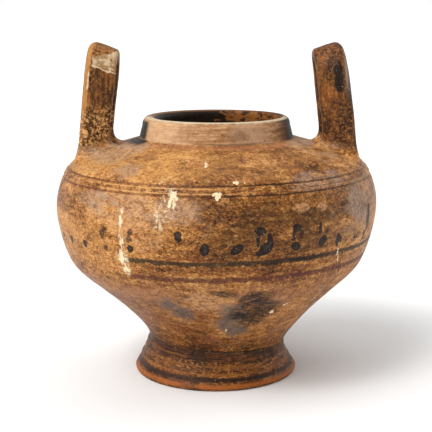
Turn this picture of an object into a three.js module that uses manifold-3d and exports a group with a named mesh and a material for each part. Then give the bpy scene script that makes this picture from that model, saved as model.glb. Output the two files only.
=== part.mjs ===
import * as THREE from 'three';
import { mergeVertices } from 'three/addons/utils/BufferGeometryUtils.js';
import Module from 'manifold-3d';

// A lebes gamikos: a hollow thrown clay vessel on a flared ring foot, with a
// collar neck and two upright loop handles on its shoulder. Millimetres, +Z up,
// origin on the ground at the middle of the foot, front of the vessel towards -Y.

// Foot
const footRadius = 49.7;
const footEdgeHeight = 1.8;
const footEdgeBevel = 0.9;
const soleWidth = 7.5;
const footHollowHeight = 14.5;

// Waist, where the foot meets the bowl
const waistRadius = 41.7;
const waistHeight = 20.2;

// Bowl and shoulder
const bellyRadius = 96.5;
const bellyHeight = 102.5;
const bodyWall = 5.5;
const floorHeight = 25;

// Collar neck and mouth
const neckRadius = 46.4;
const neckBaseHeight = 143.7;
const neckRise = 12.6;
const neckTaper = 1.9;
const lipCrestRadius = 40.6;
const lipOuterDrop = 5;
const mouthRadius = 38.2;
const lipInnerDrop = 3;

// Grooves incised round the pot
const shoulderGrooveHeights = [122.5, 127.5];
const waistGrooveHeight = 21.3;
const grooveWidth = 1.5;
const grooveDepth = 0.6;

// Upright loop handles, each a strap bent into an arch that stands along Y.
// reach is the middle of the strap at the shoulder, lean tips the arch inwards
// and bend curves its top further in. Each strap has a width at root and crest.
const handles = [
  { side: -1, reach: 73.3, lean: 6.4, bend: 0, rootWidth: 18, crestWidth: 18 },
  { side: 1, reach: 73.6, lean: 4.5, bend: 2.9, rootWidth: 20.2, crestWidth: 18 },
];
const handleTopHeight = 200;
const legSpacing = 27;
const archRise = 13.5;
const strapThickness = 7;
const strapSlant = 2.5;
const farEdgeRadius = 3.6;
const nearEdgeRadius = 2;
const fullestRounding = 0.46; // the most of an edge's thickness that its rounding takes
const rootFlareInward = 7.5;
const rootFlareOutward = 3.4;
const rootFlareAlong = 4;
const rootFlareHeight = 11;

// Fineness of the facets
const turnSteps = 56;
const spanSteps = 2;
const lipSteps = 3;
const domeSteps = 5;
const archSteps = 10;
const legSteps = 3;
const cornerSteps = 3;

// The outer wall as stations between its driving sizes. Each pair is a share of
// the radius and a share of the height from one driving station to the next.
const between = (from, to, shares) => shares.map(([radiusShare, heightShare]) => [
  THREE.MathUtils.lerp(from[0], to[0], radiusShare),
  THREE.MathUtils.lerp(from[1], to[1], heightShare),
]);

const footEdge = [footRadius, footEdgeHeight];
const waist = [waistRadius, waistHeight];
const belly = [bellyRadius, bellyHeight];
const neckBase = [neckRadius, neckBaseHeight];

const footShares = [[0.4, 0.3], [0.76, 0.58]];
const bowlShares = [
  [0.042, 0.067], [0.27, 0.246], [0.6, 0.453], [0.75, 0.542], [0.843, 0.616], [0.942, 0.78],
];
const shoulderShares = [
  [0.026, 0.28], [0.108, 0.545], [0.174, 0.643], [0.303, 0.738], [0.541, 0.835], [0.828, 0.938],
];

const wallStations = [
  footEdge,
  ...between(footEdge, waist, footShares),
  waist,
  ...between(waist, belly, bowlShares),
  belly,
  ...between(belly, neckBase, shoulderShares),
  neckBase,
];
const wallCurve = new THREE.CatmullRomCurve3(
  wallStations.map(([radius, height]) => new THREE.Vector3(radius, height, 0)),
  false,
  'centripetal',
);
const wallSpans = wallStations.length - 1;
const outerWall = wallCurve.getPoints(wallSpans * spanSteps).map(({ x, y }) => [x, y]);

// Reads one coordinate of a polyline against the other, which has to rise or fall steadily
const readOff = (line, known, wanted, value) => {
  const rising = line[line.length - 1][known] > line[0][known];
  const ahead = line.findIndex((point) => (rising ? point[known] >= value : point[known] <= value));
  if (ahead <= 0) {
    return ahead === 0 ? line[0][wanted] : line[line.length - 1][wanted];
  }
  const a = line[ahead - 1];
  const b = line[ahead];
  return THREE.MathUtils.mapLinear(value, a[known], b[known], a[wanted], b[wanted]);
};

const outerRadiusAt = (height) => readOff(outerWall, 1, 0, height);

const shoulderWall = outerWall.filter(([, height]) => height >= bellyHeight);
const shoulderHeightAt = (radius) => readOff(shoulderWall, 0, 1, radius);

// Outer wall with its incised grooves, each a shallow V
const grooveHeights = [waistGrooveHeight, ...shoulderGrooveHeights];

const grooved = () => {
  const cuts = grooveHeights.flatMap((middle) => [
    [outerRadiusAt(middle - grooveWidth / 2), middle - grooveWidth / 2],
    [outerRadiusAt(middle) - grooveDepth, middle],
    [outerRadiusAt(middle + grooveWidth / 2), middle + grooveWidth / 2],
  ]);
  const clear = outerWall.filter(([, height]) => (
    grooveHeights.every((middle) => Math.abs(height - middle) > grooveWidth * 0.75)
  ));
  return [...clear, ...cuts].sort((a, b) => a[1] - b[1]);
};

// Lip: a quarter of an ellipse up to the crest and another down into the mouth
const lipTop = neckBaseHeight + neckRise;

const quarter = (fromRadius, crestRadius, drop, sweep) => sweep.map((share) => {
  const angle = (Math.PI / 2) * share;
  return [
    crestRadius + (fromRadius - crestRadius) * Math.cos(angle),
    lipTop - drop + drop * Math.sin(angle),
  ];
});

const lip = () => {
  const shares = Array.from({ length: lipSteps + 1 }, (_, step) => step / lipSteps);
  const outside = quarter(neckRadius - neckTaper, lipCrestRadius, lipOuterDrop, shares);
  const inside = quarter(mouthRadius, lipCrestRadius, lipInnerDrop, shares.slice(0, -1).reverse());
  return [...outside, ...inside];
};

// Inner wall: the outer wall moved inwards by the thickness of the clay, from
// under the collar down to where it meets the floor of the bowl
const innerWall = () => {
  const moved = wallStations.map((_, index) => {
    const share = index / wallSpans;
    const { x, y } = wallCurve.getPoint(share);
    const run = wallCurve.getTangent(share);
    return [x - run.y * bodyWall, y + run.x * bodyWall];
  });
  const kept = moved.filter(([radius, height]) => (
    height > floorHeight + bodyWall / 2
    && height < neckBaseHeight - bodyWall / 2
    && radius > waistRadius - bodyWall
  ));
  const floorRadius = (waistRadius - bodyWall) / 2;
  return [
    [mouthRadius, neckBaseHeight - bodyWall / 2],
    ...kept.reverse(),
    [floorRadius, floorHeight + bodyWall / 5],
    [0, floorHeight],
  ];
};

// Underside: a shallow domed hollow inside the ring that the pot stands on
const underside = () => {
  const ringInside = footRadius - footEdgeBevel - soleWidth;
  const dome = Array.from({ length: domeSteps }, (_, step) => {
    const angle = (Math.PI / 2) * (1 - step / domeSteps);
    return [ringInside * Math.cos(angle), footHollowHeight * Math.sin(angle)];
  });
  return [...dome, [ringInside, 0], [footRadius - footEdgeBevel, 0]];
};

// Turns a closed geometry into a solid for joining
const wasm = await Module();
wasm.setup();

const toSolid = (geometry) => {
  const bare = geometry.clone();
  bare.deleteAttribute('normal');
  bare.deleteAttribute('uv');
  const merged = mergeVertices(bare, 1e-4);
  const corners = merged.getIndex().array;
  const faces = [];
  for (let i = 0; i < corners.length; i += 3) {
    const [a, b, c] = corners.slice(i, i + 3);
    if (a !== b && b !== c && c !== a) {
      faces.push(a, b, c);
    }
  }
  const mesh = new wasm.Mesh({
    numProp: 3,
    vertProperties: new Float32Array(merged.getAttribute('position').array),
    triVerts: new Uint32Array(faces),
  });
  return new wasm.Manifold(mesh);
};

const toGeometry = (solid) => {
  const mesh = solid.getMesh();
  const geometry = new THREE.BufferGeometry();
  geometry.setAttribute('position', new THREE.BufferAttribute(mesh.vertProperties, 3));
  geometry.setIndex(new THREE.BufferAttribute(mesh.triVerts, 1));
  geometry.computeVertexNormals();
  return geometry;
};

const pot = () => {
  const profile = [...underside(), ...grooved(), ...lip(), ...innerWall()];
  const points = profile.map(([radius, height]) => new THREE.Vector2(Math.max(radius, 0), height));
  const geometry = new THREE.LatheGeometry(points, turnSteps);
  geometry.rotateX(Math.PI / 2);
  return toSolid(geometry);
};

// Strap section in (across, out): across runs away from the pot's axis and out
// runs away from the middle of the arch. The strap is thicker and rounder at its
// far edge.
const strapSection = (width) => {
  const half = width / 2;
  const thin = -strapThickness / 2;
  const nearOut = strapThickness / 2 - strapSlant / 2;
  const farOut = strapThickness / 2 + strapSlant / 2;
  const far = Math.min(farEdgeRadius, (farOut - thin) * fullestRounding, half * fullestRounding);
  const near = Math.min(nearEdgeRadius, (nearOut - thin) * fullestRounding, half * fullestRounding);
  const corners = [
    { at: [half - far, thin + far], radius: far, from: -90 },
    { at: [half - far, farOut - far], radius: far, from: 0 },
    { at: [-half + near, nearOut - near], radius: near, from: 90 },
    { at: [-half + near, thin + near], radius: near, from: 180 },
  ];
  return corners.flatMap(({ at, radius, from }) => (
    Array.from({ length: cornerSteps }, (_, step) => {
      const angle = THREE.MathUtils.degToRad(from + (90 * step) / (cornerSteps - 1));
      return [at[0] + radius * Math.cos(angle), at[1] + radius * Math.sin(angle)];
    })
  ));
};

// Closed solid through rings of equally many points, with flat ends
const loft = (rings) => {
  const count = rings[0].length;
  const centre = (ring) => (
    ring.reduce((sum, p) => sum.add(p), new THREE.Vector3()).divideScalar(count)
  );
  const vertices = [...rings.flat(), centre(rings[0]), centre(rings[rings.length - 1])];
  const startCentre = rings.length * count;
  const endCentre = startCentre + 1;
  const lastRing = (rings.length - 1) * count;
  const faces = [];
  for (let i = 0; i < count; i += 1) {
    const next = (i + 1) % count;
    for (let ring = 0; ring < rings.length - 1; ring += 1) {
      const low = ring * count;
      const high = low + count;
      faces.push(low + i, low + next, high + next);
      faces.push(low + i, high + next, high + i);
    }
    faces.push(startCentre, next, i);
    faces.push(endCentre, lastRing + i, lastRing + next);
  }
  const geometry = new THREE.BufferGeometry().setFromPoints(vertices);
  geometry.setIndex(faces);
  return geometry;
};

const handle = ({ side, reach, lean, bend, rootWidth, crestWidth }) => {
  const tilt = THREE.MathUtils.degToRad(lean);
  const up = new THREE.Vector3(-side * Math.sin(tilt), 0, Math.cos(tilt));
  const across = new THREE.Vector3(side * Math.cos(tilt), 0, Math.sin(tilt));
  const along = new THREE.Vector3(0, 1, 0);
  const rootRadius = Math.hypot(reach, legSpacing / 2);
  const foot = new THREE.Vector3(side * reach, 0, shoulderHeightAt(rootRadius));
  const overCrest = Math.max(...strapSection(crestWidth).map(([a, out]) => (
    (a - bend) * across.z + out * up.z
  )));
  const crest = (handleTopHeight - foot.z - overCrest) / up.z;
  const springing = crest - archRise;

  // One ring of the strap, centred at (y, rise) in the plane of the arch
  const ringAt = (y, rise, outY, outUp) => {
    const climb = THREE.MathUtils.clamp(rise / crest, 0, 1);
    const section = strapSection(THREE.MathUtils.lerp(rootWidth, crestWidth, climb));
    if (side > 0) {
      section.reverse();
    }
    return section.map(([a, out]) => (
      foot.clone()
        .addScaledVector(along, y + out * outY)
        .addScaledVector(up, rise + out * outUp)
        .addScaledVector(across, a - bend * climb * climb)
    ));
  };

  // A leg's ring near the shoulder flares, most of all towards the pot's axis,
  // and follows the shoulder's slope
  const legRing = (end, share) => {
    const height = -bodyWall / 2 + share * (springing + bodyWall / 2);
    const low = THREE.MathUtils.clamp(1 - height / rootFlareHeight, 0, 1);
    const swell = 1 - Math.sqrt(1 - low * low);
    const ring = ringAt(end * legSpacing / 2, height, end, 0);
    const middle = foot.clone().addScaledVector(up, height);
    middle.y = end * legSpacing / 2;
    const settle = THREE.MathUtils.smoothstep(share, 0, 1);
    return ring.map((point) => {
      const away = point.clone().sub(middle);
      away.z = 0;
      away.normalize();
      const flareX = away.x * side < 0 ? rootFlareInward : rootFlareOutward;
      const spread = point.clone();
      spread.x += away.x * flareX * swell;
      spread.y += away.y * rootFlareAlong * swell;
      const ground = shoulderHeightAt(Math.hypot(spread.x, spread.y));
      spread.z = THREE.MathUtils.lerp(ground + height, spread.z, settle);
      return spread;
    });
  };

  const flareShare = (rootFlareHeight + bodyWall / 2) / (springing + bodyWall / 2);
  const flareStations = [0, 0.26, 0.36, 0.5, 0.72, 1].map((share) => share * flareShare);
  const legStations = [
    ...flareStations,
    ...Array.from({ length: legSteps }, (_, step) => (
      THREE.MathUtils.lerp(flareShare, 1, (step + 1) / legSteps)
    )),
  ];
  const arch = Array.from({ length: archSteps - 1 }, (_, step) => {
    const angle = (Math.PI * (step + 1)) / archSteps;
    const y = (-legSpacing / 2) * Math.cos(angle);
    const rise = springing + archRise * Math.sin(angle);
    const out = new THREE.Vector2(
      -Math.cos(angle) / (legSpacing / 2),
      Math.sin(angle) / archRise,
    ).normalize();
    return ringAt(y, rise, out.x, out.y);
  });
  const rings = [
    ...legStations.map((share) => legRing(-1, share)),
    ...arch,
    ...legStations.map((share) => legRing(1, share)).reverse(),
  ];
  return toSolid(loft(rings));
};

const vesselSolid = handles.reduce((solid, each) => solid.add(handle(each)), pot());

const clay = new THREE.MeshStandardMaterial({
  name: 'clay',
  color: 0x9c6a3c,
  roughness: 0.62,
  metalness: 0,
});

const vessel = new THREE.Mesh(toGeometry(vesselSolid), clay);
vessel.name = 'vessel';

const lebes = new THREE.Group();
lebes.name = 'lebes_gamikos';
lebes.add(vessel);

export default lebes;
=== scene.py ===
"""A lebes gamikos: a small fired clay pot with two upright loop handles.

Lengths are in millimetres and become metres only when a mesh or a place is made.
The pot's axis is Z and its front faces -Y. The angle round the pot is called turn:
0 at the front, growing towards +X.
"""

import math

import bmesh
import bpy
import numpy as np
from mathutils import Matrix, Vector, kdtree, noise


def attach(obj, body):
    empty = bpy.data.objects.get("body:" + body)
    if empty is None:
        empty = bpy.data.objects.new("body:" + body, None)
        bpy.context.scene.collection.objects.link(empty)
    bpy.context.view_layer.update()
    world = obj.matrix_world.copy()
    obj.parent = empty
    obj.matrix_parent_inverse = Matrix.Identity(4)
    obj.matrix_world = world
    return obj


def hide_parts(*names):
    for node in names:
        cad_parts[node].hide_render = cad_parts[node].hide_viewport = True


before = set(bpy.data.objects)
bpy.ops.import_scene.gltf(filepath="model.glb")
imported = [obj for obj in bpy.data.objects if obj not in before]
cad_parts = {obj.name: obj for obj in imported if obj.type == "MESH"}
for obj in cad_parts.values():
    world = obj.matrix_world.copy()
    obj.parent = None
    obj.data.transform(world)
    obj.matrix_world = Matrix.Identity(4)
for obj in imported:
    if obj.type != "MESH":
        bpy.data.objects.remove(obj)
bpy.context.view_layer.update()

MM = 0.001

# Foot
FOOT_RADIUS = 49.7
FOOT_EDGE_HEIGHT = 1.8
FOOT_EDGE_BEVEL = 0.9
SOLE_WIDTH = 7.5
FOOT_HOLLOW_HEIGHT = 14.5

# Waist, bowl and shoulder
WAIST_RADIUS = 41.7
WAIST_HEIGHT = 20.2
BELLY_RADIUS = 96.5
BELLY_HEIGHT = 102.5
BODY_WALL = 5.5
FLOOR_HEIGHT = 25

# Collar neck and mouth
NECK_RADIUS = 46.4
NECK_BASE_HEIGHT = 143.7
NECK_RISE = 12.6
NECK_TAPER = 1.9
LIP_CREST_RADIUS = 40.6
LIP_OUTER_DROP = 5
MOUTH_RADIUS = 38.2
LIP_INNER_DROP = 3
LIP_TOP = NECK_BASE_HEIGHT + NECK_RISE

# Loop handles: the same values as the solid's
HANDLES = {
    "left": {"side": -1, "reach": 73.3, "lean": 6.4, "bend": 0.0, "root": 18.0, "crest": 18.0},
    "right": {"side": 1, "reach": 73.6, "lean": 4.5, "bend": 2.9, "root": 20.2, "crest": 18.0},
}
HANDLE_TOP = 200.0
LEG_SPACING = 27.0
ARCH_RISE = 13.5
STRAP_THICKNESS = 7.0
STRAP_SLANT = 2.5
STRAP_CROWN = 0.35
FAR_EDGE = (4.6, 3.7)
NEAR_EDGE = (2.4, 2.3)
ROOT_FLARE_INWARD = 7.5
ROOT_FLARE_OUTWARD = 3.4
ROOT_FLARE_ALONG = 4.0
ROOT_FLARE_HEIGHT = 11.0

# Fineness of the meshes
OUTER_COLUMNS = 336
INNER_COLUMNS = OUTER_COLUMNS // 2
RING_SPACING = 1.25
FINE_SPACING = 0.42
INNER_SPACING = 3.4
WALL_STEPS = 60
LEG_RINGS = 34
ARCH_RINGS = 36
SEAM_ROUNDS = 8

# The smoothed seam between a handle's foot and the shoulder
SEAM_REACH = 3.0
SEAM_FROM = 120
SEAM_MERGE = 0.12
OLD_POINT = 0.002

# The outer wall between its driving sizes: shares of the radius and of the height
FOOT_SHARES = ((0.4, 0.3), (0.76, 0.58))
BOWL_SHARES = (
    (0.042, 0.067), (0.27, 0.246), (0.6, 0.453), (0.75, 0.542), (0.843, 0.616), (0.942, 0.78),
)
SHOULDER_SHARES = (
    (0.026, 0.28), (0.108, 0.545), (0.174, 0.643), (0.303, 0.738), (0.541, 0.835), (0.828, 0.938),
)

# How far the potter's hand was out of true, as (height, amount) pairs. The side
# slip moves a ring along X and the side tilt lifts its right side.
SIDE_SLIP = ((0, -0.4), (16, -0.4), (20, 0.3), (30, 0.9), (45, 0.8), (60, 0.5), (75, 0))
SIDE_TILT = (
    (0, 0), (9, -1.1), (21.6, -1.9), (40, -1.0), (60, 0), (75, 0.7), (130, 0.7), (144, 0.3), (157, 0),
)

# Material slots of the finished mesh, and the heights where one outside material
# hands over to the next
LOWER_SLOT, BELLY_SLOT, UPPER_SLOT, INSIDE_SLOT, HANDLE_SLOT = range(5)
BELLY_FROM = 72.5
BELLY_TO = 120.0

# Lines turned into the clay: height, width and depth. A negative depth stands proud.
TURNED_LINES = (
    (127.6, 1.5, 0.60),
    (126.4, 1.1, -0.15),
    (125.1, 0.9, 0.22),
    (124.0, 1.1, -0.15),
    (122.6, 1.6, 0.62),
    (21.6, 1.5, 0.60),
    (17.3, 1.6, -0.22),
    (15.0, 1.5, 0.22),
    (12.8, 1.5, -0.22),
    (10.8, 1.4, 0.20),
    (8.8, 1.5, -0.28),
    (5.9, 2.6, 0.30),
)


def between(start, end, shares):
    """Points between two (radius, height) stations, at shares of the way."""
    return [
        (start[0] + (end[0] - start[0]) * across, start[1] + (end[1] - start[1]) * up)
        for across, up in shares
    ]


def smooth_curve(stations, steps):
    """Centripetal Catmull-Rom curve through the stations, with steps points a span."""
    points = np.array(stations, dtype=float)
    padded = np.vstack([2 * points[0] - points[1], points, 2 * points[-1] - points[-2]])
    share = np.linspace(0, 1, steps, endpoint=False)[:, None]
    spans = []
    for p0, p1, p2, p3 in zip(padded, padded[1:], padded[2:], padded[3:]):
        gap0, gap1, gap2 = (
            math.sqrt(np.linalg.norm(b - a)) for a, b in ((p0, p1), (p1, p2), (p2, p3))
        )
        leave = ((p1 - p0) / gap0 - (p2 - p0) / (gap0 + gap1) + (p2 - p1) / gap1) * gap1
        arrive = ((p2 - p1) / gap1 - (p3 - p1) / (gap1 + gap2) + (p3 - p2) / gap2) * gap1
        square = 3 * (p2 - p1) - 2 * leave - arrive
        cube = 2 * (p1 - p2) + leave + arrive
        spans.append(p1 + leave * share + square * share**2 + cube * share**3)
    return np.vstack([*spans, points[-1:]])


foot_edge = (FOOT_RADIUS, FOOT_EDGE_HEIGHT)
waist = (WAIST_RADIUS, WAIST_HEIGHT)
belly = (BELLY_RADIUS, BELLY_HEIGHT)
neck_base = (NECK_RADIUS, NECK_BASE_HEIGHT)
wall = smooth_curve(
    [
        foot_edge,
        *between(foot_edge, waist, FOOT_SHARES),
        waist,
        *between(waist, belly, BOWL_SHARES),
        belly,
        *between(belly, neck_base, SHOULDER_SHARES),
        neck_base,
    ],
    WALL_STEPS,
)
shoulder = wall[wall[:, 1] >= BELLY_HEIGHT][::-1]


def shoulder_height(radius):
    """Height of the shoulder's outer surface at a radius."""
    return np.interp(radius, shoulder[:, 0], shoulder[:, 1])


def quarter(start_radius, crest_radius, drop, steps):
    """A quarter of an ellipse up to the crest of the lip."""
    angle = np.linspace(0, math.pi / 2, steps)
    radius = crest_radius + (start_radius - crest_radius) * np.cos(angle)
    return np.column_stack([radius, LIP_TOP - drop + drop * np.sin(angle)])


def resampled(line, spacing):
    """The same line with a point about every spacing(height) millimetres."""
    step = np.linalg.norm(np.diff(line, axis=0), axis=1)
    middle = (line[1:, 1] + line[:-1, 1]) / 2
    count = np.concatenate([[0], np.cumsum(step / spacing(middle))])
    wanted = np.linspace(0, count[-1], max(2, round(count[-1])) + 1)
    return np.column_stack([np.interp(wanted, count, line[:, axis]) for axis in (0, 1)])


def outer_spacing(height):
    """Rings lie closer near the turned lines, the foot's edge and the neck's corner."""
    near = np.full(height.shape, RING_SPACING)
    near[height < WAIST_HEIGHT] = FINE_SPACING * 1.4
    for line, width, _ in TURNED_LINES[:6]:
        near[np.abs(height - line) < width] = FINE_SPACING
    near[np.abs(height - NECK_BASE_HEIGHT) < 1.2] = FINE_SPACING
    return near


def outer_profile():
    """From the inside of the sole, up the outside, over the lip and into the mouth."""
    sole_inside = FOOT_RADIUS - FOOT_EDGE_BEVEL - SOLE_WIDTH
    angle = np.linspace(-math.pi / 2, 0, 5)
    edge = np.column_stack([
        FOOT_RADIUS - FOOT_EDGE_BEVEL * (1 - np.cos(angle)),
        FOOT_EDGE_HEIGHT * (1 + np.sin(angle)),
    ])
    sole = np.column_stack([np.linspace(sole_inside, edge[0, 0], 5)[:-1], np.zeros(4)])
    rise = resampled(wall[wall[:, 1] > FOOT_EDGE_HEIGHT + 0.2], outer_spacing)
    outside = quarter(NECK_RADIUS - NECK_TAPER, LIP_CREST_RADIUS, LIP_OUTER_DROP, 11)
    neck = resampled(np.vstack([neck_base, outside[0]]), outer_spacing)[1:-1]
    inside = quarter(MOUTH_RADIUS, LIP_CREST_RADIUS, LIP_INNER_DROP, 9)[::-1][1:]
    throat = np.array([[MOUTH_RADIUS, LIP_TOP - LIP_INNER_DROP - 1.4]])
    return np.vstack([sole, edge, rise, neck, outside, inside, throat])


def unit(rows):
    """The same directions, each of length 1."""
    return rows / np.linalg.norm(rows, axis=1)[:, None]


def inner_profile():
    """From the throat down the inside of the wall to the middle of the floor."""
    run = unit(np.gradient(wall, axis=0))
    moved = np.column_stack([wall[:, 0] - run[:, 1] * BODY_WALL, wall[:, 1] + run[:, 0] * BODY_WALL])
    inside = (
        (moved[:, 1] > FLOOR_HEIGHT + BODY_WALL / 2)
        & (moved[:, 1] < NECK_BASE_HEIGHT - BODY_WALL / 2)
        & (moved[:, 0] > WAIST_RADIUS - BODY_WALL)
    )
    line = np.vstack([
        [MOUTH_RADIUS, LIP_TOP - LIP_INNER_DROP - 4],
        [MOUTH_RADIUS, NECK_BASE_HEIGHT - BODY_WALL / 2],
        moved[inside][::-1],
        [(WAIST_RADIUS - BODY_WALL) / 2, FLOOR_HEIGHT + BODY_WALL / 5],
        [0, FLOOR_HEIGHT],
    ])
    return resampled(line, lambda height: np.full(height.shape, INNER_SPACING))


def underside_profile():
    """From inside the sole up over the hollow to its middle."""
    radius = FOOT_RADIUS - FOOT_EDGE_BEVEL - SOLE_WIDTH
    angle = np.linspace(0, math.pi / 2, 15)[1:]
    return np.column_stack([radius * np.cos(angle), FOOT_HOLLOW_HEIGHT * np.sin(angle)])


def lumps(points, size, seed):
    """Smooth noise from about -1 to 1 at each point, with lumps of about this size."""
    shift = Vector((17.3 * seed, 9.1 * seed, 5.7 * seed))
    return np.array([noise.noise(Vector(point) / size + shift) for point in points])


def amount_at(pairs, height):
    """Reads (height, amount) pairs at any height."""
    heights, amounts = zip(*pairs)
    return np.interp(height, heights, amounts)


# Flakes and chips that have come off the surface, most of them down to the pale
# clay: turn in degrees, height, half width, half height, slant in degrees, depth
FLAKES = (
    (-32.4, 111.0, 0.9, 2.2, 0, 0.15),
    (-32.8, 104.0, 1.3, 3.6, 3, 0.22),
    (-32.0, 98.6, 0.9, 2.0, -8, 0.18),
    (-32.6, 93.0, 0.8, 2.6, 5, 0.18),
    (-33.2, 88.0, 2.3, 1.9, 10, 0.25),
    (-31.2, 85.0, 1.5, 1.5, -15, 0.20),
    (-33.6, 81.5, 1.7, 1.3, 12, 0.20),
    (-31.6, 78.6, 0.9, 1.2, 0, 0.15),
    (0.4, 123.6, 2.6, 1.3, 0, 0.25),
    (0.6, 121.8, 1.2, 1.3, 0, 0.22),
    (-13.6, 123.0, 0.9, 2.4, -12, 0.15),
    (-15.2, 119.0, 0.8, 2.2, 8, 0.15),
    (-4.6, 136.8, 1.1, 0.8, 0, 0.15),
    (7.0, 129.4, 1.9, 0.9, 10, 0.20),
    (10.0, 128.6, 0.9, 0.7, 0, 0.15),
    (31.5, 56.5, 2.1, 0.9, -20, 0.20),
    (27.0, 52.0, 2.4, 1.1, 15, 0.22),
    (45.4, 87.2, 0.5, 2.0, -8, 0.12),
    (46.6, 82.6, 0.5, 2.6, -14, 0.12),
    (5.7, 39.3, 0.8, 0.8, 0, 0.15),
)

# Long flaked streaks: turn, height, half width, half height, slant, strength. The
# flakes to the left of the streak edge get their colour from them.
STREAK_EDGE = -30
STRANDS = (
    (-32.4, 108.0, 1.2, 6.5, 2, 0.9),
    (-32.2, 98.0, 1.2, 6.0, -3, 0.9),
    (-32.6, 87.5, 3.0, 4.2, 0, 1.0),
    (-31.8, 81.0, 2.4, 3.4, 8, 0.9),
    (-14.4, 121.0, 1.4, 4.8, -14, 1.0),
    (-19.0, 110.5, 1.2, 6.0, -22, 0.6),
)


def flake_depth(turn, height):
    """How deep the flakes and chips are at each place on the outside."""
    depth = np.zeros(turn.shape)
    for flake_turn, middle, half_width, half_height, slant, deep in FLAKES:
        across = np.radians(turn - flake_turn) * BELLY_RADIUS
        up = height - middle
        lean = math.radians(slant)
        wide = (across * math.cos(lean) + up * math.sin(lean)) / half_width
        tall = (up * math.cos(lean) - across * math.sin(lean)) / half_height
        depth += deep / (1 + (wide**2 + tall**2) ** 3)
    return depth


def line_relief(turn, height, points):
    """The turned lines, worn away in places."""
    broken_up = 0.78 + 0.3 * lumps(points * (1, 1, 0.1), 38, 5)
    relief = np.zeros(turn.shape)
    for middle, width, depth in TURNED_LINES:
        offset = (height - middle) / (width * 0.5)
        relief -= depth * broken_up * np.exp(-(offset**2))
    return relief


def lathe_points(profile, columns, outside):
    """Rings of points round the axis, with the unevenness of a hand-thrown pot."""
    turn = np.linspace(-180, 180, columns, endpoint=False)
    turn_grid, radius = np.meshgrid(turn, profile[:, 0])
    height = np.repeat(profile[:, 1], columns)
    turn_flat = turn_grid.ravel()
    radius_flat = radius.ravel()
    side = np.sin(np.radians(turn_flat))
    front = -np.cos(np.radians(turn_flat))

    run = unit(np.gradient(profile, axis=0))
    out_radius = np.repeat(run[:, 1], columns)
    out_height = np.repeat(-run[:, 0], columns)

    places = np.column_stack([radius_flat * side, radius_flat * front, height])
    swell = 0.3 * lumps(places, 44, 1) + 0.12 * lumps(places, 11, 2)
    if outside:
        on_wall = np.clip((height - 0.3) / 1.2, 0, 1) * np.clip((LIP_TOP - 1 - height) / 2, 0.25, 1)
        swell += 0.05 * lumps(places, 2.6, 3)
        swell += line_relief(turn_flat, height, places)
        swell -= flake_depth(turn_flat, height)
        swell *= on_wall
    swell *= np.clip(radius_flat / 8, 0, 1)

    # The mouth was opened a little to the right, so the rim is thicker on the left
    inner_rim = np.clip((LIP_CREST_RADIUS - 0.5 - radius_flat) / 2, 0, 1)
    inner_rim *= np.clip((height - 120) / 24, 0, 1)
    radius_flat = radius_flat + inner_rim * (2.2 * side - 0.9)

    radius_flat = radius_flat + out_radius * swell
    lifted = height + out_height * swell + amount_at(SIDE_TILT, height) * side
    lifted = np.maximum(lifted, 0)
    return np.column_stack([
        radius_flat * side + amount_at(SIDE_SLIP, height),
        radius_flat * front,
        lifted,
    ])


def ring_faces(first, second, count):
    """Quads between two rings of the same count of points, facing outwards."""
    nexts = [(i + 1) % count for i in range(count)]
    return [(first + i, first + nexts[i], second + nexts[i], second + i) for i in range(count)]


def halving_faces(fine, coarse, count, flip):
    """Triangles between a ring of twice count points and a ring of count points."""
    faces = []
    for i in range(count):
        a = fine + 2 * i
        b = fine + 2 * i + 1
        c = fine + (2 * i + 2) % (2 * count)
        low = coarse + i
        high = coarse + (i + 1) % count
        faces += [(a, b, low), (b, high, low), (b, c, high)]
    return [face[::-1] for face in faces] if flip else faces


def placed(name, data):
    """An object with this mesh, light or camera, put into the scene."""
    made = bpy.data.objects.new(name, data)
    bpy.context.scene.collection.objects.link(made)
    return made


def make_mesh(name, points, faces, slots):
    """A mesh object from points in millimetres."""
    mesh = bpy.data.meshes.new(name)
    mesh.from_pydata((np.asarray(points) * MM).tolist(), [], faces)
    mesh.polygons.foreach_set("material_index", slots)
    return placed(name, mesh)


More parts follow.
